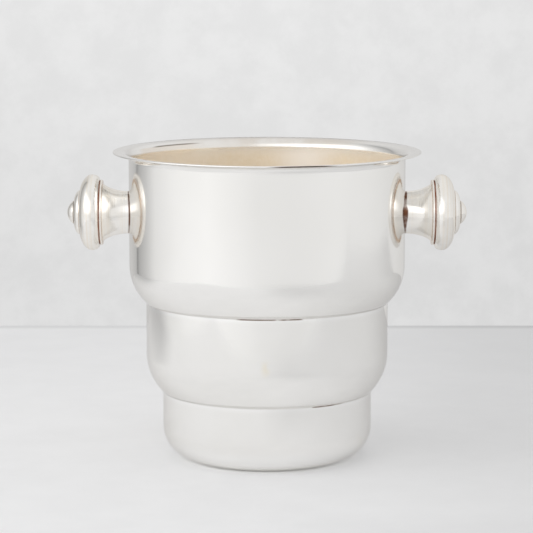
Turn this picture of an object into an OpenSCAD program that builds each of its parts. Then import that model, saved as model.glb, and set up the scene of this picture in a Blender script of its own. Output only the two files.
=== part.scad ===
// Two-handled champagne bucket in plated sheet metal, spun in three tiers.
// Origin: centre of the base, on the surface it stands on. +Z up, knobs along X.

/* [Bucket] */
// Outside diameter of the upper tier
upper_d = 194; // [150:1:250]
// Height of the upper tier, rim included
upper_h = 106.2; // [88:0.1:140]
// Height of the middle tier
middle_h = 63.5; // [45:0.1:90]
// Height of the lower tier
lower_h = 47.3; // [30:0.1:70]
// Inward step from the upper tier to the middle tier
upper_step = 11.7; // [6:0.1:20]
// Inward step from the middle tier to the lower tier
lower_step = 11.5; // [6:0.1:20]
// Radius of the rounding under the upper tier
upper_round = 35; // [24:1:45]
// Radius of the rounding under the middle tier
middle_round = 37; // [24:1:45]
// Radius of the corner between wall and floor
base_round = 22; // [8:1:24]
// Thickness of the spun sheet
sheet = 1; // [0.8:0.1:2]
// Height by which the middle of the floor is pushed up
floor_rise = 2; // [1:0.1:4]
// Width of the flat ring that the bucket stands on
foot_w = 8; // [4:0.5:12]
// Width of the slope between the flat ring and the raised floor
foot_slope_w = 5; // [3:0.5:8]

/* [Rim] */
// Width of the flared rim outside the wall
flange_w = 11; // [8:0.5:16]
// Upward tilt of the rim, in degrees
flange_tilt = 4.7; // [2:0.1:12]
// Outside radius where the wall turns into the rim
flange_fillet = 5; // [3:0.5:6]

/* [Handle knobs] */
// Distance of the knobs' axis below the rim
knob_drop = 43.4; // [38:0.1:46]
// Outside diameter of the neck at the wall
neck_d = 29.8; // [24:0.1:36]
// Length of the neck from the wall to the bead
neck_l = 18.2; // [15:0.1:26]
// Rise of the neck's flare at the bead
flare_h = 5.4; // [3:0.1:8]
// Thickness of the spun neck
neck_sheet = 1; // [0.8:0.1:2]
// Diameter of the bead between neck and knob
bead_d = 46; // [42:0.1:50]
// Thickness of the bead
bead_t = 1.8; // [1.2:0.1:3]
// Height of the spigot that centres the bead in the neck
spigot_h = 1.5; // [1:0.1:3]
// Radial clearance of that spigot
spigot_gap = 0.2; // [0.1:0.05:0.5]
// Width of the groove between bead and knob
groove_w = 0.5; // [0.3:0.1:1.5]
// Depth of that groove below the bead
groove_depth = 1.4; // [0.8:0.1:2.5]
// Largest diameter of the knob
knob_d = 53.4; // [48:0.1:64]
// Length of the knob's back shell
knob_back_l = 5.3; // [4:0.1:8]
// Drop of the back shell from the widest line to its back face
knob_back_drop = 3.5; // [2:0.1:6]
// Length of the knob's front shell
knob_front_l = 8.6; // [6:0.1:12]
// Diameter of the flat that ends the front shell
knob_flat_d = 32.6; // [31.6:0.1:36]
// Thickness of the knob's shells
knob_sheet = 1; // [0.8:0.1:2]
// Diameter of the domed cap on the knob's end
cap_d = 31; // [26:0.1:31.4]
// Height of the cap
cap_h = 4.5; // [3:0.1:7]
// Diameter of the cap's flat centre
cap_flat_d = 11; // [10:0.1:16]
// Diameter of the end button
button_d = 16.4; // [12:0.1:22]
// Height of the end button
button_h = 4.5; // [4:0.1:7]

/* [Fixing] */
// Diameter of the stud through each handle
stud_d = 6; // [5:0.5:7]
// Radial clearance of the stud in everything that it passes through
stud_gap = 0.25; // [0.1:0.05:0.5]
// Length of thread inside the end button
button_thread = 3; // [2:0.1:3.2]
// Diameter of the gasket and the saddle washer
saddle_d = 24; // [16:0.5:28]
// Thickness of the gasket against the inside of the wall
gasket_t = 1.2; // [0.8:0.1:2]
// Thickness of the saddle washer at its centre
saddle_t = 4; // [3:0.1:6]
// Outside diameter of the spring washer
washer_d = 11; // [9.5:0.1:13]
// Thickness of the spring washer
washer_t = 1.2; // [0.8:0.1:2]
// Width of the split in the spring washer
washer_split = 1.2; // [0.8:0.1:2]
// Width across the flats of the domed nut
nut_af = 10; // [9:0.5:13]
// Height of the nut's six-sided part
nut_h = 5; // [4:0.1:7]
// Length of thread that the stud shows past the spring washer, inside the nut
nut_thread = 6.4; // [4:0.1:7]
// Diameter of the nut's dome
dome_d = 9.2; // [8.6:0.1:9.4]

/* [Hidden] */

$fn = 96;
arc_steps = 9;
through = 1;
left = 180;
right = 0;

plate = [0.86, 0.86, 0.85];
warm_plate = [0.88, 0.86, 0.82];
steel = [0.62, 0.62, 0.63];
fibre = [0.35, 0.22, 0.16];

// Radii and heights of the bucket
height = lower_h + middle_h + upper_h;
upper_r = upper_d / 2;
middle_r = upper_r - upper_step;
lower_r = middle_r - lower_step;
rim_r = upper_r + flange_w;
upper_z = lower_h + middle_h;
foot_out_r = lower_r - base_round;
foot_in_r = foot_out_r - foot_w;
dish_r = foot_in_r - foot_slope_w;
knob_z = height - knob_drop;

// Stations along a handle, measured from the bucket's axis
inner_r = upper_r - sheet;
neck_end = upper_r + neck_l;
groove_start = neck_end + bead_t;
knob_start = groove_start + groove_w;
knob_widest = knob_start + knob_back_l;
knob_end = knob_widest + knob_front_l;
cap_end = knob_end + cap_h;
gasket_in = inner_r - gasket_t;
neck_root = upper_r - neck_d * neck_d / upper_d;
saddle_in = gasket_in - saddle_t;
nut_start = saddle_in - washer_t;
bore_r = stud_d / 2 + stud_gap;

// The neck flares along an ellipse, up to this angle of it
flare_a = 62;
flare_len = neck_l / sin(flare_a);
flare_rise = flare_h / (1 - cos(flare_a));

// The knob's front is an elliptical arc round a core, and ends in a flat for the cap
front_core = 12;
front_a = acos((knob_flat_d / 2 - front_core) / (knob_d / 2 - front_core));

// Points of an ellipse's arc from angle a to angle b
function arc(cx, cy, rx, ry, a, b) =
    [for (i = [0 : arc_steps]) let (t = a + (b - a) * i / arc_steps) [cx + rx * cos(t), cy + ry * sin(t)]];

// Angle at which the rounding under a tier meets the narrower tier below it
function step_angle(step, round_r) = acos(1 - step / round_r);

// One side of the bucket's sheet: skin 0 is the outside, skin = sheet the inside
function tier_edge(wide_r, step, round_r, low_z, skin) =
    let (
        centre_z = low_z + round_r * sin(step_angle(step, round_r)),
        bend_r = round_r - skin,
        bend_a = acos((wide_r - step - skin - (wide_r - round_r)) / bend_r)
    )
    arc(wide_r - round_r, centre_z, bend_r, bend_r, -bend_a, 0);

function rim_edge(skin) =
    let (
        slope = tan(flange_tilt),
        bend_r = flange_fillet + skin,
        centre_r = upper_r + flange_fillet,
        under_z = height - sheet / cos(flange_tilt) - (rim_r - centre_r) * slope,
        centre_z = under_z - flange_fillet / cos(flange_tilt)
    )
    arc(centre_r, centre_z, bend_r, bend_r, 180, 90 + flange_tilt);

function floor_edge(skin) = concat(
    [[0, floor_rise + skin], [dish_r, floor_rise + skin], [foot_in_r, skin]],
    arc(foot_out_r, base_round, base_round - skin, base_round - skin, -90, 0)
);

function sheet_side(skin) = concat(
    floor_edge(skin),
    tier_edge(middle_r, lower_step, middle_round, lower_h, skin),
    tier_edge(upper_r, upper_step, upper_round, upper_z, skin),
    rim_edge(skin)
);

function reversed(list) = [for (i = [len(list) - 1 : -1 : 0]) list[i]];

function flare_r(along) = neck_d / 2 + flare_rise * (1 - sqrt(1 - pow(along / flare_len, 2)));

function flare_edge(skin) =
    [for (i = [0 : arc_steps])
        let (along = flare_len * sin(flare_a * i / arc_steps))
        [flare_r(along) - skin, upper_r + along]];

module bucket_body() {
    color(plate)
    difference() {
        rotate_extrude()
        polygon(concat(
            sheet_side(0),
            [[rim_r, height - sheet / cos(flange_tilt)], [rim_r, height]],
            reversed(sheet_side(sheet))
        ));
        translate([0, 0, knob_z])
        rotate([0, 90, 0])
        cylinder(r = bore_r, h = 2 * (upper_r + through), center = true);
    }
}

// Puts a child that is drawn along Z, from the bucket's axis outwards, on one handle
module on_side(side) {
    rotate([0, 0, side])
    translate([0, 0, knob_z])
    rotate([0, 90, 0])
    children();
}

// A turned or spun piece with the stud's bore along it
module turned(points) {
    difference() {
        rotate_extrude() polygon(points);
        cylinder(r = bore_r, h = cap_end + button_h + through);
    }
}

module tier_drum(r) {
    cylinder(r = r, h = 4 * saddle_d, center = true);
}

// A hollow flare that is cut to sit on the round wall
module neck(side) {
    color(warm_plate)
    difference() {
        on_side(side)
        rotate_extrude()
        polygon(concat(
            [[neck_d / 2, neck_root]],
            flare_edge(0),
            reversed(flare_edge(neck_sheet)),
            [[neck_d / 2 - neck_sheet, neck_root]]
        ));
        translate([0, 0, knob_z]) tier_drum(upper_r);
    }
}

module bead_ring(side) {
    spigot_r = flare_r(neck_l - spigot_h) - neck_sheet - spigot_gap;
    color(warm_plate)
    on_side(side)
    turned(concat(
        [[0, neck_end - spigot_h], [spigot_r, neck_end - spigot_h], [spigot_r, neck_end]],
        arc((bead_d - bead_t) / 2, neck_end + bead_t / 2, bead_t / 2, bead_t / 2, -90, 90),
        [[bead_d / 2 - groove_depth, groove_start], [bead_d / 2 - groove_depth, knob_start],
         [0, knob_start]]
    ));
}

module knob_back(side) {
    rim = knob_d / 2 - knob_back_drop;
    color(warm_plate)
    on_side(side)
    turned(concat(
        [[0, knob_start]],
        arc(rim, knob_widest, knob_back_drop, knob_back_l, -90, 0),
        arc(rim, knob_widest, knob_back_drop - knob_sheet, knob_back_l - knob_sheet, 0, -90),
        [[0, knob_start + knob_sheet]]
    ));
}

module knob_front(side) {
    color(warm_plate)
    on_side(side)
    turned(concat(
        arc(front_core, knob_widest, knob_d / 2 - front_core, knob_front_l / sin(front_a), 0, front_a),
        [[0, knob_end], [0, knob_end - knob_sheet]],
        reversed(arc(front_core, knob_widest, knob_d / 2 - front_core - knob_sheet,
            (knob_front_l - knob_sheet) / sin(front_a), 0, front_a))
    ));
}

module cap_ring(side) {
    color(warm_plate)
    on_side(side)
    turned(concat(
        [[0, knob_end]],
        arc(cap_flat_d / 2, knob_end, (cap_d - cap_flat_d) / 2, cap_h, 0, 90),
        [[0, cap_end]]
    ));
}

module end_button(side) {
    crown_r = (button_d * button_d / 4 + button_h * button_h) / (2 * button_h);
    color(warm_plate)
    on_side(side)
    difference() {
        intersection() {
            translate([0, 0, cap_end + button_h - crown_r]) sphere(r = crown_r);
            translate([0, 0, cap_end]) cylinder(r = button_d / 2 + through, h = button_h + through);
        }
        translate([0, 0, cap_end - through]) cylinder(d = stud_d, h = through + button_thread);
    }
}

module tie_stud(side) {
    start = nut_start - nut_thread;
    color(steel)
    on_side(side)
    translate([0, 0, start])
    cylinder(d = stud_d, h = cap_end + button_thread - start);
}

// A disc round the stud between two drums about the bucket's axis
module gasket(side) {
    color(fibre)
    intersection() {
        on_side(side)
        difference() {
            cylinder(d = saddle_d, h = upper_r);
            cylinder(r = bore_r, h = upper_r + through);
        }
        translate([0, 0, knob_z])
        difference() {
            tier_drum(inner_r);
            tier_drum(gasket_in);
        }
    }
}

module saddle_washer(side) {
    color(steel)
    intersection() {
        on_side(side)
        translate([0, 0, saddle_in])
        difference() {
            cylinder(d = saddle_d, h = saddle_t + through);
            translate([0, 0, -through]) cylinder(r = bore_r, h = saddle_t + 3 * through);
        }
        translate([0, 0, knob_z]) tier_drum(gasket_in);
    }
}

module spring_washer(side) {
    color(steel)
    on_side(side)
    translate([0, 0, nut_start])
    difference() {
        cylinder(d = washer_d, h = washer_t);
        translate([0, 0, -through]) cylinder(r = bore_r, h = washer_t + 2 * through);
        translate([0, -washer_split / 2, -through])
        cube([washer_d, washer_split, washer_t + 2 * through]);
    }
}

module domed_nut(side) {
    corner_r = nut_af / 2 / cos(30);
    color(warm_plate)
    on_side(side)
    difference() {
        union() {
            translate([0, 0, nut_start - nut_h]) cylinder(r = corner_r, h = nut_h, $fn = 6);
            translate([0, 0, nut_start - nut_h]) sphere(d = dome_d);
        }
        translate([0, 0, nut_start - nut_thread]) cylinder(d = stud_d, h = nut_thread + through);
    }
}

bucket_body();
neck(left);  // left_neck
bead_ring(left);  // left_bead_ring
knob_back(left);  // left_knob_back
knob_front(left);  // left_knob_front
cap_ring(left);  // left_cap_ring
end_button(left);  // left_end_button
tie_stud(left);  // left_tie_stud
gasket(left);  // left_gasket
saddle_washer(left);  // left_saddle_washer
spring_washer(left);  // left_spring_washer
domed_nut(left);  // left_domed_nut
neck(right);  // right_neck
bead_ring(right);  // right_bead_ring
knob_back(right);  // right_knob_back
knob_front(right);  // right_knob_front
cap_ring(right);  // right_cap_ring
end_button(right);  // right_end_button
tie_stud(right);  // right_tie_stud
gasket(right);  // right_gasket
saddle_washer(right);  // right_saddle_washer
spring_washer(right);  // right_spring_washer
domed_nut(right);  // right_domed_nut
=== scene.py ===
import math

import bmesh
import bpy
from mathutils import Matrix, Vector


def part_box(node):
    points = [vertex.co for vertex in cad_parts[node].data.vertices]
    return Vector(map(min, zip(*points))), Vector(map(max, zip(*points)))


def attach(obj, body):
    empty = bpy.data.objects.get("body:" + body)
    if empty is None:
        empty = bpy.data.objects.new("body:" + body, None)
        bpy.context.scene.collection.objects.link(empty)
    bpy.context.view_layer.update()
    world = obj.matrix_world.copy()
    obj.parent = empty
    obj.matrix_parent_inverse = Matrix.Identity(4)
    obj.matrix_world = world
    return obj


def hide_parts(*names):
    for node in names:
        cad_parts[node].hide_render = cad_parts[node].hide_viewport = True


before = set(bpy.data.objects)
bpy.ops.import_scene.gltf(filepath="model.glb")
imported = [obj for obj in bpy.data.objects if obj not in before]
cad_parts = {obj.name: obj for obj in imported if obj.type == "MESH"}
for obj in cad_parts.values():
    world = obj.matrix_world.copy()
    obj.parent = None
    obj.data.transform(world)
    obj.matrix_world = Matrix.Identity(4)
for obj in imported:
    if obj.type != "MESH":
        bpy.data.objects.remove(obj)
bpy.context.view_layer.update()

# ---------------------------------------------------------------- sizes
# Lengths are in millimetres until they reach a mesh.
MM = 0.001

body_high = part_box("bucket_body")[1]
RIM_R = body_high.x / MM
HEIGHT = body_high.z / MM
SHEET = 1.0
FLANGE_W = 11.0
FLANGE_TILT = math.radians(4.7)
FLANGE_FILLET = 5.0
UPPER_R = RIM_R - FLANGE_W
UPPER_STEP = 11.7
LOWER_STEP = 11.5
MIDDLE_R = UPPER_R - UPPER_STEP
LOWER_R = MIDDLE_R - LOWER_STEP
LOWER_H = 47.3
UPPER_Z = LOWER_H + 63.5
UPPER_ROUND = 35.0
MIDDLE_ROUND = 37.0
BASE_ROUND = 22.0
FLOOR_RISE = 2.0
FOOT_W = 8.0
FOOT_SLOPE_W = 5.0
STUD_HOLE_R = 3.25

knob_low, knob_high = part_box("right_knob_front")
KNOB_Z = (knob_low.z + knob_high.z) / 2 / MM
KNOB_R = (knob_high.z - knob_low.z) / 2 / MM


def along(node, end):
    """Where a handle's node starts (0) or ends (1), measured out from the bucket's axis."""
    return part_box("right_" + node)[end].x / MM


BEAD_T = 1.8
GROOVE_W = 0.5
KNOB_START = along("knob_back", 0)
GROOVE_START = KNOB_START - GROOVE_W
NECK_END = GROOVE_START - BEAD_T
KNOB_WIDEST = along("knob_back", 1)
KNOB_END = along("knob_front", 1)
CAP_END = along("cap_ring", 1)
TIP = along("end_button", 1)
NECK_R = 14.9
FLARE_H = 5.4
BEAD_R = 23.0
GROOVE_R = 21.6
CAP_R = 15.5
BUTTON_R = 8.2


# ---------------------------------------------------------------- outlines
def arc(cx, cy, rx, ry, start, stop, steps):
    """Points on an ellipse from one angle to another, in degrees."""
    turn = [math.radians(start + (stop - start) * i / steps) for i in range(steps + 1)]
    return [(cx + rx * math.cos(t), cy + ry * math.sin(t)) for t in turn]


def filled_in(points, gap):
    """The same outline with points added, so that none are further apart than gap."""
    out = [points[0]]
    for (x0, y0), (x1, y1) in zip(points, points[1:]):
        n = max(1, math.ceil(math.hypot(x1 - x0, y1 - y0) / gap))
        out += [(x0 + (x1 - x0) * i / n, y0 + (y1 - y0) * i / n) for i in range(1, n + 1)]
    return out


def step_angle(step, radius):
    return math.degrees(math.acos(1 - step / radius))


def tier_edge(wide_r, step, radius, low_z, skin):
    """The rounding under a tier, from its crease up to the tier's wall."""
    centre_z = low_z + radius * math.sin(math.radians(step_angle(step, radius)))
    bend = radius - skin
    start = math.degrees(math.acos((radius - step - skin) / bend))
    return arc(wide_r - radius, centre_z, bend, bend, -start, 0, 24)


def rim_edge(skin):
    slope = math.tan(FLANGE_TILT)
    centre_r = UPPER_R + FLANGE_FILLET
    under_z = HEIGHT - SHEET / math.cos(FLANGE_TILT) - (RIM_R - centre_r) * slope
    centre_z = under_z - FLANGE_FILLET / math.cos(FLANGE_TILT)
    bend = FLANGE_FILLET + skin
    return arc(centre_r, centre_z, bend, bend, 180, 90 + math.degrees(FLANGE_TILT), 16)


def floor_edge(skin):
    foot_out = LOWER_R - BASE_ROUND
    foot_in = foot_out - FOOT_W
    bend = BASE_ROUND - skin
    middle = [(0, FLOOR_RISE + skin), (foot_in - FOOT_SLOPE_W, FLOOR_RISE + skin), (foot_in, skin)]
    return middle + arc(foot_out, BASE_ROUND, bend, bend, -90, 0, 28)


def sheet_side(skin):
    return (
        floor_edge(skin)
        + tier_edge(MIDDLE_R, LOWER_STEP, MIDDLE_ROUND, LOWER_H, skin)
        + tier_edge(UPPER_R, UPPER_STEP, UPPER_ROUND, UPPER_Z, skin)
        + rim_edge(skin)
    )


def bucket_outline():
    """Outside of the sheet, the lip's round edge and the inside back to the middle."""
    lip = SHEET / 2
    edge = arc(RIM_R - lip, HEIGHT - lip, lip, lip, -80, 90, 8)
    outside = filled_in(sheet_side(0), 3.0)
    inside = filled_in(sheet_side(SHEET)[::-1], 3.0)
    return outside + edge + inside, len(outside) + len(edge) - 2


FLARE_A = math.radians(62)
FLARE_LEN = (NECK_END - UPPER_R) / math.sin(FLARE_A)
FLARE_RISE = FLARE_H / (1 - math.cos(FLARE_A))
NECK_ROOT = UPPER_R - 2.0


def neck_outline():
    steps = 28
    flare = []
    for i in range(steps + 1):
        t = FLARE_A * i / steps
        flare.append((NECK_R + FLARE_RISE * (1 - math.cos(t)), UPPER_R + FLARE_LEN * math.sin(t)))
    inner = [(r - SHEET, u) for r, u in flare[::-1]]
    return [(NECK_R, NECK_ROOT)] + flare + inner + [(NECK_R - SHEET, NECK_ROOT)]


def bead_outline():
    half = BEAD_T / 2
    round_edge = arc(BEAD_R - half, NECK_END + half, half, half, -90, 90, 14)
    groove = [(GROOVE_R, GROOVE_START), (GROOVE_R, KNOB_START)]
    return [(STUD_HOLE_R, NECK_END)] + round_edge + groove + [(STUD_HOLE_R, KNOB_START)]


def knob_back_outline():
    half = KNOB_WIDEST - KNOB_START
    drop = 3.5
    outside = arc(KNOB_R - drop, KNOB_WIDEST, drop, half, -90, 0, 20)
    inside = arc(KNOB_R - drop, KNOB_WIDEST, drop - SHEET, half - SHEET, 0, -90, 10)
    return [(STUD_HOLE_R, KNOB_START)] + outside + inside + [(STUD_HOLE_R, KNOB_START + SHEET)]


def knob_front_outline():
    core = 12.0
    flat_r = 16.3
    stop = math.degrees(math.acos((flat_r - core) / (KNOB_R - core)))
    reach = (KNOB_END - KNOB_WIDEST) / math.sin(math.radians(stop))
    outside = arc(core, KNOB_WIDEST, KNOB_R - core, reach, 0, stop, 36)
    skin = 1.1
    inside = arc(core, KNOB_WIDEST, KNOB_R - core - SHEET, reach - skin, 0, stop, 16)[::-1]
    return outside + [(STUD_HOLE_R, KNOB_END), (STUD_HOLE_R, KNOB_END - SHEET)] + inside


def cap_outline():
    flat = 5.5
    dome = arc(flat, KNOB_END, CAP_R - flat, CAP_END - KNOB_END, 0, 90, 30)
    return [(STUD_HOLE_R, KNOB_END)] + dome + [(STUD_HOLE_R, CAP_END)]


def button_outline():
    rise = TIP - CAP_END
    crown = (BUTTON_R**2 + rise**2) / (2 * rise)
    open_a = math.degrees(math.asin(BUTTON_R / crown))
    dome = arc(0, TIP - crown, crown, crown, 90 - open_a, 90, 24)
    return [(0, CAP_END)] + dome


# ---------------------------------------------------------------- turning tree
def node(tree, kind, place=(0, 0), **settings):
    made = tree.nodes.new(kind)
    made.location = place
    for name, value in settings.items():
        setattr(made, name, value)
    return made


def link(tree, source, target):
    tree.links.new(source, target)


def math_node(tree, operation, first, second=None):
    made = node(tree, "ShaderNodeMath", operation=operation)
    for socket, value in zip(made.inputs, (first, second)):
        if value is None:
            continue
        if isinstance(value, (int, float)):
            socket.default_value = value
        else:
            link(tree, value, socket)
    return made.outputs[0]


def turning_tree():
    """A lathe: turns an outline of points (radius in x, station in z) round the Z axis."""
    tree = bpy.data.node_groups.new("turned_metal", "GeometryNodeTree")
    face = tree.interface
    face.new_socket("Outline", in_out="INPUT", socket_type="NodeSocketGeometry")
    for name, kind, value in (
        ("Segments", "NodeSocketInt", 192),
        ("Inside from point", "NodeSocketInt", 100000),
        ("Waviness", "NodeSocketFloat", 0.0),
        ("Wave size", "NodeSocketFloat", 0.05),
        ("Crisp edge angle", "NodeSocketFloat", math.radians(24)),
        ("Turn", "NodeSocketRotation", None),
        ("Place", "NodeSocketVector", None),
        ("Finish", "NodeSocketMaterial", None),
    ):
        socket = face.new_socket(name, in_out="INPUT", socket_type=kind)
        if value is not None:
            socket.default_value = value
    face.new_socket("Turned", in_out="OUTPUT", socket_type="NodeSocketGeometry")
    given = node(tree, "NodeGroupInput")
    inp = given.outputs

    count = node(tree, "GeometryNodeAttributeDomainSize")
    link(tree, inp["Outline"], count.inputs[0])
    columns = math_node(tree, "ADD", inp["Segments"], 1)
    grid = node(tree, "GeometryNodeMeshGrid")
    link(tree, count.outputs["Point Count"], grid.inputs["Vertices X"])
    link(tree, columns, grid.inputs["Vertices Y"])

    index = node(tree, "GeometryNodeInputIndex").outputs[0]
    row = math_node(tree, "FLOOR", math_node(tree, "DIVIDE", math_node(tree, "ADD", index, 0.5), columns))
    column = math_node(tree, "SUBTRACT", index, math_node(tree, "MULTIPLY", row, columns))
    angle = math_node(tree, "DIVIDE", math_node(tree, "MULTIPLY", column, math.tau), inp["Segments"])

    outline_at = node(tree, "GeometryNodeSampleIndex", data_type="FLOAT_VECTOR", domain="POINT")
    link(tree, inp["Outline"], outline_at.inputs["Geometry"])
    link(tree, node(tree, "GeometryNodeInputPosition").outputs[0], outline_at.inputs["Value"])
    link(tree, row, outline_at.inputs["Index"])
    split = node(tree, "ShaderNodeSeparateXYZ")
    link(tree, outline_at.outputs[0], split.inputs[0])
    ring = node(tree, "ShaderNodeCombineXYZ")
    for turn_part, socket in (("COSINE", ring.inputs[0]), ("SINE", ring.inputs[1])):
        link(tree, math_node(tree, "MULTIPLY", split.outputs["X"], math_node(tree, turn_part, angle)), socket)
    link(tree, split.outputs["Z"], ring.inputs[2])

    spun = node(tree, "GeometryNodeSetPosition")
    link(tree, grid.outputs["Mesh"], spun.inputs["Geometry"])
    link(tree, ring.outputs[0], spun.inputs["Position"])

    marked = node(tree, "GeometryNodeStoreNamedAttribute", data_type="FLOAT", domain="POINT")
    marked.inputs["Name"].default_value = "inside"
    link(tree, spun.outputs[0], marked.inputs["Geometry"])
    link(tree, math_node(tree, "GREATER_THAN", row, inp["Inside from point"]), marked.inputs["Value"])

    closed = node(tree, "GeometryNodeMergeByDistance")
    closed.inputs["Distance"].default_value = 1e-6
    link(tree, marked.outputs[0], closed.inputs["Geometry"])

    # Slow waves, as a hand-held spinning tool leaves them
    place = node(tree, "GeometryNodeInputPosition").outputs[0]
    frequency = math_node(tree, "DIVIDE", 1.0, inp["Wave size"])
    waves = node(tree, "ShaderNodeTexNoise", noise_dimensions="3D")
    waves.inputs["Detail"].default_value = 1.0
    link(tree, place, waves.inputs["Vector"])
    link(tree, frequency, waves.inputs["Scale"])
    height = math_node(tree, "MULTIPLY", math_node(tree, "SUBTRACT", waves.outputs[0], 0.5), inp["Waviness"])
    flat = node(tree, "ShaderNodeVectorMath", operation="MULTIPLY")
    link(tree, place, flat.inputs[0])
    flat.inputs[1].default_value = (1, 1, 0)
    outward = node(tree, "ShaderNodeVectorMath", operation="NORMALIZE")
    link(tree, flat.outputs[0], outward.inputs[0])
    push = node(tree, "ShaderNodeVectorMath", operation="SCALE")
    link(tree, outward.outputs[0], push.inputs[0])
    link(tree, height, push.inputs["Scale"])
    waved = node(tree, "GeometryNodeSetPosition")
    link(tree, closed.outputs[0], waved.inputs["Geometry"])
    link(tree, push.outputs[0], waved.inputs["Offset"])

    smooth = node(tree, "GeometryNodeSetShadeSmooth", domain="FACE")
    link(tree, waved.outputs[0], smooth.inputs["Geometry"])
    crisp = node(tree, "GeometryNodeSetShadeSmooth", domain="EDGE")
    link(tree, smooth.outputs[0], crisp.inputs["Geometry"])
    bend = node(tree, "GeometryNodeInputMeshEdgeAngle").outputs["Unsigned Angle"]
    link(tree, math_node(tree, "GREATER_THAN", bend, inp["Crisp edge angle"]), crisp.inputs["Selection"])
    crisp.inputs["Shade Smooth"].default_value = False

    seated = node(tree, "GeometryNodeTransform")
    link(tree, crisp.outputs[0], seated.inputs["Geometry"])
    link(tree, inp["Place"], seated.inputs["Translation"])
    link(tree, inp["Turn"], seated.inputs["Rotation"])
    real = node(tree, "GeometryNodeRealizeInstances")
    link(tree, seated.outputs[0], real.inputs[0])
    finish = node(tree, "GeometryNodeSetMaterial")
    link(tree, real.outputs[0], finish.inputs["Geometry"])
    link(tree, inp["Finish"], finish.inputs["Material"])
    out = node(tree, "NodeGroupOutput")
    link(tree, finish.outputs[0], out.inputs[0])
    return tree


TURNING = turning_tree()


def turn(name, outline, finish, place=(0, 0, 0), rotation=(0, 0, 0), **inputs):
    """A plain mesh of the outline turned into a closed solid."""
    points = bpy.data.meshes.new(name + "_outline")
    points.from_pydata([(r * MM, 0, u * MM) for r, u in outline], [], [])
    source = bpy.data.objects.new(name + "_outline", points)
    bpy.context.scene.collection.objects.link(source)
    lathe = source.modifiers.new("lathe", "NODES")
    lathe.node_group = TURNING
    values = {"Place": place, "Turn": rotation, "Finish": finish, **inputs}
    for item in TURNING.interface.items_tree:
        if item.in_out == "INPUT" and item.name in values:
            lathe[item.identifier] = values[item.name]
    bpy.context.view_layer.update()
    seen = bpy.context.evaluated_depsgraph_get()
    mesh = bpy.data.meshes.new_from_object(source.evaluated_get(seen))
    mesh.name = name
    bpy.data.objects.remove(source)
    piece = bpy.data.objects.new(name, mesh)
    bpy.context.scene.collection.objects.link(piece)
    face_outwards(piece)
    return piece


def face_outwards(piece):
    """Turns a closed mesh the right way round if its volume comes out negative."""
    work = bmesh.new()
    work.from_mesh(piece.data)
    if work.calc_volume(signed=True) < 0:
        bmesh.ops.reverse_faces(work, faces=work.faces)
        work.to_mesh(piece.data)
    work.free()


# ---------------------------------------------------------------- finishes
POLISHED_DEEP = (0.945, 0.935, 0.91)
POLISHED_BRIGHT = (0.97, 0.96, 0.94)
STAIN_TINT = (0.93, 0.88, 0.78)
SPOT_TINT = (0.95, 0.89, 0.75)
CREASE_PAINTED_LIGHT = (1.0, 0.995, 0.98)
CREASE_TARNISH = (0.20, 0.12, 0.07)
LIP_DARK_LINE = (0.09, 0.05, 0.03)
RUBBED_RIM = (0.80, 0.74, 0.67)
CORNER_WARM = (0.90, 0.83, 0.75)
CORNER_PAINTED_SHADE = (0.26, 0.22, 0.18)
FOOT_PAINTED_SHADE = (0.45, 0.42, 0.38)
BODY_EDGE_TINT = (0.82, 0.81, 0.80, 1)

DULL_DEEP = (0.91, 0.82, 0.665)
DULL_BRIGHT = (0.95, 0.87, 0.74)
DULL_STREAK = (0.78, 0.67, 0.50)
DULL_PAINTED_SHEEN = (1.0, 0.965, 0.91)

KNOB_DEEP = (0.955, 0.925, 0.875)
KNOB_BRIGHT = (0.985, 0.97, 0.945)
KNOB_BAND = (0.90, 0.80, 0.66)
GROOVE_BROWN = (0.40, 0.12, 0.05)
ROOT_BROWN = (0.15, 0.065, 0.035)
JOINT_TAN = (0.60, 0.40, 0.26)
STEP_AND_BUTTON_SHADE = (0.42, 0.28, 0.18)
KNOB_EDGE_TINT = (0.88, 0.86, 0.83, 1)

STEEL_DARK = (0.50, 0.49, 0.48)
STEEL_LIGHT = (0.66, 0.65, 0.63)
FIBRE_DARK = (0.10, 0.045, 0.025)
FIBRE_LIGHT = (0.22, 0.11, 0.07)

# Where each crease of the bucket is tarnished: its height, and from where to where in x
TARNISHED_CREASES = ((UPPER_Z, -20, 27), (LOWER_H, 24, 66))
SPOT_X = -1
SPOT_Z = 77
LIP_DARK_LINE_X = 24
SHEEN_X = 27
# Depths below the rim
BRIGHT_DOWN_TO = 1.5
DULL_FROM = 15
CORNER_SHADE_DOWN = 2.5


def material(name):
    made = bpy.data.materials.new(name)
    made.use_nodes = True
    tree = made.node_tree
    shader = tree.nodes["Principled BSDF"]
    return made, tree, shader


def noise(tree, vector, scale, detail=3.0, rough=0.55):
    made = node(tree, "ShaderNodeTexNoise")
    made.inputs["Scale"].default_value = scale
    made.inputs["Detail"].default_value = detail
    made.inputs["Roughness"].default_value = rough
    link(tree, vector, made.inputs["Vector"])
    return made.outputs[0]


def ramp(tree, value, low, high, out_low=0.0, out_high=1.0):
    """Maps low..high of a value to out_low..out_high, held at both ends."""
    made = node(tree, "ShaderNodeMapRange", interpolation_type="SMOOTHSTEP")
    for name, number in (("From Min", low), ("From Max", high), ("To Min", out_low), ("To Max", out_high)):
        made.inputs[name].default_value = number
    link(tree, value, made.inputs["Value"])
    return made.outputs[0]


def ramp_mm(tree, value, low, high, out_low=0.0, out_high=1.0):
    return ramp(tree, value, low * MM, high * MM, out_low, out_high)


def near(tree, value, centre, width):
    """1 where a value is at centre, falling to 0 at width away."""
    gap = math_node(tree, "ABSOLUTE", math_node(tree, "SUBTRACT", value, centre))
    return ramp(tree, gap, 0.0, width, 1.0, 0.0)


def near_mm(tree, value, centre, width):
    return near(tree, value, centre * MM, width * MM)


def times(tree, product, *others):
    """Masks multiplied together."""
    for other in others:
        product = math_node(tree, "MULTIPLY", product, other)
    return product


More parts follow.
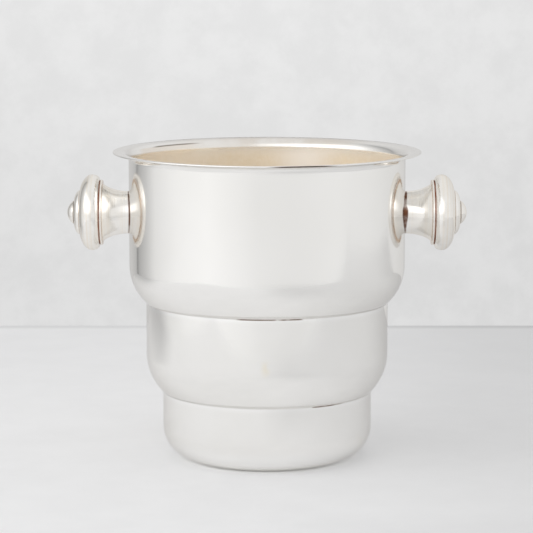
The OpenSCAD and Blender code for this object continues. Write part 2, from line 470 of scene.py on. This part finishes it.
def larger(tree, first, second):
    return math_node(tree, "MAXIMUM", first, second)


def plus(tree, first, second):
    return math_node(tree, "ADD", first, second)


def blend(tree, amount, first, second):
    """Mixes two colours, given as colours or sockets."""
    made = node(tree, "ShaderNodeMix", data_type="RGBA")
    link(tree, amount, made.inputs[0])
    for socket, value in ((made.inputs[6], first), (made.inputs[7], second)):
        if isinstance(value, tuple):
            socket.default_value = (*value, 1)
        else:
            link(tree, value, socket)
    return made.outputs[2]


def bump(tree, height, distance, under=None):
    made = node(tree, "ShaderNodeBump")
    made.inputs["Distance"].default_value = distance
    made.inputs["Strength"].default_value = 1.0
    link(tree, height, made.inputs["Height"])
    if under is not None:
        link(tree, under, made.inputs["Normal"])
    return made.outputs[0]


def distance(tree, first, second):
    squares = [math_node(tree, "MULTIPLY", part, part) for part in (first, second)]
    return math_node(tree, "SQRT", plus(tree, *squares))


def plate_base(tree):
    """Object coordinates, their parts and the distance from the bucket's axis."""
    place = node(tree, "ShaderNodeTexCoord").outputs["Object"]
    parts = node(tree, "ShaderNodeSeparateXYZ")
    link(tree, place, parts.inputs[0])
    x, y, z = parts.outputs
    return place, x, y, z, distance(tree, x, y)


def lines_round(tree, first, second, scale):
    """Fine rings left by turning: noise that changes along the piece and not round it."""
    made = node(tree, "ShaderNodeCombineXYZ")
    link(tree, first, made.inputs[0])
    link(tree, second, made.inputs[1])
    return noise(tree, made.outputs[0], scale, 4.0, 0.7)


def stretched(tree, place, scale, rotation=(0, 0, 0)):
    made = node(tree, "ShaderNodeMapping")
    made.inputs["Scale"].default_value = scale
    made.inputs["Rotation"].default_value = rotation
    link(tree, place, made.inputs["Vector"])
    return made.outputs[0]


def crease_tarnish(tree, bright, place, x, y, z):
    """Short brown stretches in the two creases at the front."""
    broken = ramp(tree, noise(tree, place, 60, 3), 0.40, 0.56)
    front = ramp_mm(tree, y, -60, -50, 1, 0)
    soft = 3
    for crease_z, start, stop in TARNISHED_CREASES:
        here = times(
            tree,
            near_mm(tree, z, crease_z + 0.1, 0.8),
            broken,
            ramp_mm(tree, x, start - soft, start + soft),
            ramp_mm(tree, x, stop - soft, stop + soft, 1, 0),
            front,
        )
        bright = blend(tree, here, bright, CREASE_TARNISH)
    return bright


def rim_marks_and_shade(tree, bright, x, y, z, radius, streaks):
    """Dark brown under the front of the lip, grey-brown rubbing at the back, and painted shade as a dark line
    in the rolled corner.
    """
    # A dark brown line under the front of the lip
    lip = times(
        tree,
        near_mm(tree, z, HEIGHT - 0.8, 1.1),
        ramp_mm(tree, radius, RIM_R - 1.4, RIM_R - 0.7),
        ramp_mm(tree, y, -60, -50, 1, 0),
        near_mm(tree, x, LIP_DARK_LINE_X, 34),
    )
    bright = blend(tree, ramp(tree, lip, 0.1, 0.6), bright, LIP_DARK_LINE)
    rubbed = times(
        tree,
        ramp_mm(tree, y, 60, 90),
        ramp_mm(tree, z, HEIGHT - 9, HEIGHT - 4),
        ramp(tree, streaks, 0.35, 0.65, 0.3, 0.9),
    )
    bright = blend(tree, rubbed, bright, RUBBED_RIM)
    back_left = times(
        tree,
        ramp_mm(tree, y, 30, 40),
        ramp_mm(tree, radius, 99, 100.5, 1, 0),
        ramp_mm(tree, x, -60, -46, 1, 0),
    )
    strip = ramp_mm(tree, z, HEIGHT - 3, HEIGHT - 2, 0.8, 0)
    bright = blend(tree, times(tree, back_left, strip), bright, CORNER_WARM)
    # Painted shade: a dark line in the rolled corner at the back left
    corner_shade_line = times(tree, near_mm(tree, z, HEIGHT - CORNER_SHADE_DOWN, 0.7), ramp_mm(tree, x, -84, -78))
    return blend(tree, times(tree, back_left, corner_shade_line), bright, CORNER_PAINTED_SHADE)


def outside_colour(tree, place, x, y, z, radius, cloud, streaks):
    bright = blend(tree, ramp(tree, cloud, 0.35, 0.7), POLISHED_DEEP, POLISHED_BRIGHT)
    bright = blend(tree, ramp(tree, noise(tree, place, 22, 2), 0.70, 0.80, 0, 0.45), bright, STAIN_TINT)
    spot = times(
        tree,
        near_mm(tree, x, SPOT_X, 5),
        near_mm(tree, z, SPOT_Z, 8),
        ramp(tree, noise(tree, place, 140, 3), 0.40, 0.60, 0, 0.6),
        ramp_mm(tree, y, 0, -20),
    )
    bright = blend(tree, spot, bright, SPOT_TINT)
    # Painted light: brighter colour in the creases and round the base, lifting the shade there
    crease_and_base_light = larger(tree, near_mm(tree, z, UPPER_Z, 4), near_mm(tree, z, LOWER_H, 4))
    crease_and_base_light = larger(tree, crease_and_base_light, ramp_mm(tree, z, 8, 20, 1, 0))
    bright = blend(tree, crease_and_base_light, bright, CREASE_PAINTED_LIGHT)
    bright = crease_tarnish(tree, bright, place, x, y, z)
    bright = rim_marks_and_shade(tree, bright, x, y, z, radius, streaks)
    # Painted shade: a grey line at the very foot, where the bucket stands on the table
    return blend(tree, ramp_mm(tree, z, 0.1, 0.9, 0.6, 0), bright, FOOT_PAINTED_SHADE)


def inside_colour(tree, place, x, y, z, streaks):
    grain = noise(tree, place, 300, 6, 0.7)
    dull = blend(tree, ramp(tree, grain, 0.30, 0.70), DULL_DEEP, DULL_BRIGHT)
    dull = blend(tree, ramp(tree, streaks, 0.50, 0.75, 0, 0.3), dull, DULL_STREAK)
    # Painted sheen: paler on the back wall, right of the middle and at the left, and just below the rim
    painted_sheen = larger(tree, near_mm(tree, x, SHEEN_X, 32), ramp_mm(tree, x, -55, -25, 0.35, 0))
    painted_sheen = times(tree, painted_sheen, ramp_mm(tree, y, 0, 40))
    painted_sheen = larger(tree, painted_sheen, ramp_mm(tree, z, HEIGHT - 10, HEIGHT - 5, 0, 0.5))
    return blend(tree, painted_sheen, dull, DULL_PAINTED_SHEEN)


def body_silver():
    """Hand-polished silver plate outside, dull and warm inside, tarnished in the creases; painted light in
    the creases, round the base and inside, painted shade at the foot and in the rolled corner.
    """
    made, tree, shader = material("body_silver")
    place, x, y, z, radius = plate_base(tree)
    rings = lines_round(tree, z, radius, 900)
    cloud = noise(tree, place, 14, 4)
    streaks = noise(tree, stretched(tree, place, (5, 5, 2.5)), 6, 5)
    rubbing = noise(tree, stretched(tree, place, (160, 160, 1400), (0.25, 0.2, 0.3)), 1, 3)
    inside = node(tree, "ShaderNodeAttribute", attribute_name="inside").outputs["Fac"]
    inside = times(tree, inside, ramp_mm(tree, z, HEIGHT - DULL_FROM, HEIGHT - BRIGHT_DOWN_TO, 1, 0))

    bright = outside_colour(tree, place, x, y, z, radius, cloud, streaks)
    dull = inside_colour(tree, place, x, y, z, streaks)
    link(tree, blend(tree, inside, bright, dull), shader.inputs["Base Color"])

    polish = ramp(tree, cloud, 0.3, 0.7, 0.075, 0.125)
    polish = plus(tree, polish, ramp(tree, rubbing, 0.55, 0.8, 0, 0.07))
    satin = ramp(tree, streaks, 0.3, 0.7, 0.50, 0.60)
    rough = node(tree, "ShaderNodeMix", data_type="FLOAT")
    link(tree, inside, rough.inputs[0])
    link(tree, polish, rough.inputs[2])
    link(tree, satin, rough.inputs[3])
    link(tree, rough.outputs[0], shader.inputs["Roughness"])
    link(tree, ramp(tree, inside, 0, 1, 1.0, 0.55), shader.inputs["Metallic"])
    shader.inputs["Specular Tint"].default_value = BODY_EDGE_TINT
    relief = bump(tree, rings, 0.000004)
    relief = bump(tree, rubbing, 0.000003, under=relief)
    link(tree, relief, shader.inputs["Normal"])
    return made


def root_tarnish(tree, x, radius, lift):
    """Brown where the neck meets the wall, wider halfway up the right one."""
    gap = math_node(tree, "SUBTRACT", radius, UPPER_R * MM)
    wide = times(
        tree,
        ramp_mm(tree, lift, -13, 1),
        ramp_mm(tree, lift, 3, 7, 1, 0.3),
        ramp_mm(tree, x, 0, 1, 0, 1.8 * MM),
    )
    reach = ramp_mm(tree, math_node(tree, "SUBTRACT", gap, wide), 0.2, 1.2, 1, 0)
    return times(tree, reach, ramp_mm(tree, gap, -2, -1))


def knob_silver():
    """Warmer polished plate with brown tarnish in the grooves and where the neck meets the wall, and painted
    shade lines at the step to the cap and round the end button.
    """
    made, tree, shader = material("knob_silver")
    place, x, y, z, radius = plate_base(tree)
    out = math_node(tree, "ABSOLUTE", x)
    lift = math_node(tree, "SUBTRACT", z, KNOB_Z * MM)
    arm = distance(tree, y, lift)
    rings = lines_round(tree, out, arm, 1400)
    bands = lines_round(tree, out, arm, 520)
    cloud = noise(tree, place, 60, 4)
    rubbing = noise(tree, stretched(tree, place, (1500, 200, 200), (0.3, 0.1, 0.4)), 1, 3)
    patchy = ramp(tree, noise(tree, place, 130, 3), 0.36, 0.6, 0.65, 1.0)

    bright = blend(tree, ramp(tree, cloud, 0.35, 0.7), KNOB_DEEP, KNOB_BRIGHT)
    bright = blend(tree, ramp(tree, bands, 0.50, 0.66, 0, 0.5), bright, KNOB_BAND)
    groove_middle = GROOVE_START + GROOVE_W / 2
    groove = times(tree, near_mm(tree, out, groove_middle, 1.2), ramp_mm(tree, arm, 22.2, 23.4, 1, 0))
    root = root_tarnish(tree, x, radius, lift)
    joint = times(tree, near_mm(tree, out, NECK_END, 0.45), ramp_mm(tree, arm, 19.6, 20.0, 0, 0.7))
    # Painted shade: dark lines at the step from knob to cap and round the end button
    step = times(tree, near_mm(tree, out, KNOB_END, 0.55), ramp_mm(tree, arm, 16.8, 17.8, 1, 0))
    button = times(tree, near_mm(tree, out, CAP_END, 0.45), ramp_mm(tree, arm, 8.8, 9.6, 1, 0))
    for mask, brown in (
        (groove, GROOVE_BROWN), (root, ROOT_BROWN), (joint, JOINT_TAN), (step, STEP_AND_BUTTON_SHADE), (button, STEP_AND_BUTTON_SHADE),
    ):
        bright = blend(tree, times(tree, mask, patchy), bright, brown)
    link(tree, bright, shader.inputs["Base Color"])

    polish = ramp(tree, cloud, 0.3, 0.7, 0.05, 0.10)
    polish = plus(tree, polish, times(tree, groove, 0.3))
    link(tree, polish, shader.inputs["Roughness"])
    shader.inputs["Metallic"].default_value = 1.0
    shader.inputs["Specular Tint"].default_value = KNOB_EDGE_TINT
    relief = bump(tree, bands, 0.00006)
    relief = bump(tree, rings, 0.000003, under=relief)
    relief = bump(tree, rubbing, 0.000002, under=relief)
    link(tree, relief, shader.inputs["Normal"])
    return made


def turned_steel():
    made, tree, shader = material("steel")
    place = node(tree, "ShaderNodeTexCoord").outputs["Object"]
    cloud = noise(tree, place, 180, 4)
    grain = noise(tree, stretched(tree, place, (2400, 260, 260)), 1, 3)
    tone = blend(tree, ramp(tree, cloud, 0.35, 0.7), STEEL_DARK, STEEL_LIGHT)
    link(tree, tone, shader.inputs["Base Color"])
    link(tree, ramp(tree, grain, 0.3, 0.7, 0.22, 0.42), shader.inputs["Roughness"])
    shader.inputs["Metallic"].default_value = 1.0
    link(tree, bump(tree, grain, 0.00001), shader.inputs["Normal"])
    return made


def pressed_fibre():
    made, tree, shader = material("fibre")
    place = node(tree, "ShaderNodeTexCoord").outputs["Object"]
    speck = noise(tree, place, 700, 5)
    tone = blend(tree, ramp(tree, speck, 0.35, 0.7), FIBRE_DARK, FIBRE_LIGHT)
    link(tree, tone, shader.inputs["Base Color"])
    link(tree, ramp(tree, speck, 0.3, 0.7, 0.55, 0.75), shader.inputs["Roughness"])
    link(tree, bump(tree, speck, 0.00008), shader.inputs["Normal"])
    return made


BODY_SILVER = body_silver()
KNOB_SILVER = knob_silver()
STEEL = turned_steel()
FIBRE = pressed_fibre()


# ---------------------------------------------------------------- pieces
def make_bucket():
    outline, inside_from = bucket_outline()
    piece = turn(
        "spun_bucket", outline, BODY_SILVER,
        **{"Segments": 288, "Inside from point": inside_from, "Waviness": 0.00025, "Wave size": 0.06},
    )
    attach(piece, "root")
    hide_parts("bucket_body")


def seat_on_wall(piece, sign):
    """Moves a neck's root ring onto the round wall, a little way into the sheet."""
    tuck = 0.3
    for vertex in piece.data.vertices:
        if abs(vertex.co.x) < (UPPER_R - 1) * MM:
            reach = math.sqrt((UPPER_R * MM) ** 2 - vertex.co.y**2) - tuck * MM
            vertex.co.x = sign * reach


def make_handle(side, sign):
    rotation = (0, sign * math.pi / 2, 0)
    for name, outline in (
        ("neck", neck_outline()),
        ("bead_ring", bead_outline()),
        ("knob_back", knob_back_outline()),
        ("knob_front", knob_front_outline()),
        ("cap_ring", cap_outline()),
        ("end_button", button_outline()),
    ):
        closed = outline if outline[0][0] == 0 else outline + outline[:1]
        piece = turn(
            f"{side}_turned_{name}", closed, KNOB_SILVER,
            place=(0, 0, KNOB_Z * MM), rotation=rotation, Segments=128,
        )
        if name == "neck":
            seat_on_wall(piece, sign)
        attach(piece, "root")
        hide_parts(f"{side}_{name}")


def dress(node_name, finish):
    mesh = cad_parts[node_name].data
    mesh.materials.clear()
    mesh.materials.append(finish)


make_bucket()
for side, sign in (("left", -1), ("right", 1)):
    make_handle(side, sign)
    dress(f"{side}_domed_nut", KNOB_SILVER)
    dress(f"{side}_tie_stud", STEEL)
    dress(f"{side}_saddle_washer", STEEL)
    dress(f"{side}_spring_washer", STEEL)
    dress(f"{side}_gasket", FIBRE)


# ---------------------------------------------------------------- studio
# From here on, lengths are in metres.
TABLE_BACK = 0.545
TABLE_FRONT = -0.50
TABLE_LEFT = -0.60
TABLE_RIGHT = 1.2
LIT_FROM = -0.25
TABLE_PAINT = (0.83, 0.83, 0.835)
PAINTED_LIGHT_UNDER_BASE = (0.95, 0.95, 0.95)
CLOUDED = 0.965
BLACK = (0, 0, 0)


def table_paint_and_shade():
    """Matt white paint, faintly clouded, with painted shade darker to the far left, the right, the back edge
    and in front; painted light paler under the base and a faint glow.
    """
    made, tree, shader = material("table_paint_and_shade")
    place, x, y, _, radius = plate_base(tree)
    mottle = ramp(tree, noise(tree, place, 16, 8, 0.65), 0.3, 0.7)
    tone = blend(tree, mottle, tuple(c * CLOUDED for c in TABLE_PAINT), TABLE_PAINT)
    # Painted shade: darker to the far left, the right, towards the back edge and in a patch in front
    corner = times(tree, ramp(tree, x, TABLE_LEFT, LIT_FROM, 1, 0), ramp(tree, y, 0.0, 0.25))
    away = plus(tree, ramp(tree, x, -0.05, 0.25, 0, 0.17), ramp(tree, y, 0.05, 0.50, 0, 0.10))
    ahead = times(tree, near(tree, x, 0.09, 0.20), ramp(tree, y, -0.32, -0.16, 0.09, 0))
    away = plus(tree, away, ahead)
    edge = ramp(tree, y, TABLE_BACK - 0.022, TABLE_BACK - 0.006, 0, 0.14)
    shade = larger(tree, times(tree, corner, 0.4), plus(tree, away, edge))
    shaded_paint = blend(tree, shade, tone, BLACK)
    # Painted light: paler paint under the base lightens the contact shade there
    under = ramp_mm(tree, radius, LOWER_R - 16, LOWER_R - 5, 1, 0)
    link(tree, blend(tree, under, shaded_paint, PAINTED_LIGHT_UNDER_BASE), shader.inputs["Base Color"])
    link(tree, ramp(tree, mottle, 0.2, 0.8, 0.80, 0.90), shader.inputs["Roughness"])
    shader.inputs["Specular IOR Level"].default_value = 0.2
    # Painted light: the table glows faintly, lifting its shade
    shader.inputs["Emission Color"].default_value = (1, 1, 1, 1)
    shader.inputs["Emission Strength"].default_value = 0.09
    return made


def make_table():
    mesh = bpy.data.meshes.new("table_top")
    front = [(TABLE_LEFT, TABLE_FRONT, 0), (TABLE_RIGHT, TABLE_FRONT, 0)]
    back = [(TABLE_RIGHT, TABLE_BACK, 0), (TABLE_LEFT, TABLE_BACK, 0)]
    mesh.from_pydata(front + back, [], [(0, 1, 2, 3)])
    mesh.materials.append(table_paint_and_shade())
    table = bpy.data.objects.new("table_top", mesh)
    bpy.context.scene.collection.objects.link(table)


make_table()

BAND_LIFT = 0.5
CEILING = 0.86
STUDIO_STRENGTH = 0.96
# How bright the studio is in each direction: degrees from the front, to the right of it if above 0
LEVELS_ROUND = (
    (-180, 0.89), (-165, 0.80), (-150, 0.68), (-139, 0.56), (-137, 0.22), (-134, 0.46), (-120, 0.60),
    (-106, 0.81), (-80, 0.94), (-50, 1.0), (-22, 0.91), (-8, 0.86), (20, 0.85), (60, 0.87), (90, 0.84),
    (120, 0.80), (150, 0.83), (180, 0.89),
)


def levels_round(tree, share):
    """A colour ramp of the studio's levels, over a share of a full turn that starts behind."""
    made = node(tree, "ShaderNodeValToRGB")
    link(tree, share, made.inputs[0])
    elements = made.color_ramp.elements
    elements[0].position, elements[1].position = 0.0, 1.0
    for degrees, _ in LEVELS_ROUND[1:-1]:
        elements.new(degrees / 360 + 0.5)
    for element, (_, level) in zip(elements, LEVELS_ROUND):
        element.color = (level, level, level, 1)
    return made.outputs[0]


def studio_surroundings():
    """Soft light from all round, by direction: bright to the front left, a dim gap behind left."""
    world = bpy.data.worlds.new("studio")
    bpy.context.scene.world = world
    world.use_nodes = True
    tree = world.node_tree
    tree.nodes.clear()
    toward = node(tree, "ShaderNodeTexCoord").outputs["Generated"]
    parts = node(tree, "ShaderNodeSeparateXYZ")
    link(tree, toward, parts.inputs[0])
    x, y, z = parts.outputs
    turn_round = math_node(tree, "ARCTAN2", x, times(tree, y, -1))
    share = plus(tree, math_node(tree, "DIVIDE", turn_round, math.tau), 0.5)
    # A broad bright band above the horizon in front, and an even ceiling
    band = times(
        tree,
        ramp(tree, z, -0.09, 0.30),
        ramp(tree, z, 0.50, 0.90, 1, 0),
        ramp(tree, y, -0.3, 0.3, 1, 0),
        ramp(tree, x, -0.7, 0.5, 1.9, 0.0),
    )
    lifted = node(tree, "ShaderNodeVectorMath", operation="SCALE")
    link(tree, levels_round(tree, share), lifted.inputs[0])
    link(tree, plus(tree, times(tree, band, BAND_LIFT), 1), lifted.inputs["Scale"])
    sky = blend(tree, ramp(tree, z, 0.55, 0.95), lifted.outputs[0], (CEILING,) * 3)
    # Plaster clouds behind the table, with the light falling off downwards and to the right
    clouds = ramp(tree, noise(tree, toward, 60, 8, 0.65), 0.35, 0.65, 0.0, 0.05)
    fall = plus(tree, ramp(tree, z, -0.16, -0.02, 0.09, 0), ramp(tree, x, -0.12, 0.12, 0, 0.05))
    behind = times(tree, ramp(tree, y, 0.90, 0.97), plus(tree, clouds, fall))
    sky = blend(tree, behind, sky, BLACK)
    # A little less light low down in front, to the right
    low = times(tree, ramp(tree, z, -0.20, -0.13, 0.11, 0), near(tree, turn_round, 0.45, 0.8))
    sky = blend(tree, low, sky, BLACK)
    light = node(tree, "ShaderNodeBackground")
    link(tree, sky, light.inputs["Color"])
    light.inputs["Strength"].default_value = STUDIO_STRENGTH
    out = node(tree, "ShaderNodeOutputWorld")
    link(tree, light.outputs[0], out.inputs[0])


studio_surroundings()

# ---------------------------------------------------------------- camera
CAMERA_DISTANCE = 1.682
CAMERA_ABOVE_RIM = 0.1619
CAMERA_PITCH = 8.25
CAMERA_SIDEWAYS = -0.0004
LENS = 162.7
SENSOR_WIDTH = 36

view = bpy.data.cameras.new("camera")
view.lens = LENS
view.sensor_width = SENSOR_WIDTH
camera = bpy.data.objects.new("camera", view)
camera.location = (CAMERA_SIDEWAYS, -CAMERA_DISTANCE, HEIGHT * MM + CAMERA_ABOVE_RIM)
camera.rotation_euler = (math.radians(90 - CAMERA_PITCH), 0, 0)
bpy.context.scene.collection.objects.link(camera)
bpy.context.scene.camera = camera
bpy.context.scene.view_settings.view_transform = "Standard"
# Light has to get in and out of the narrow gaps between the bright metal and the table
paths = bpy.context.scene.cycles
paths.max_bounces = 24
paths.glossy_bounces = 16
paths.diffuse_bounces = 8
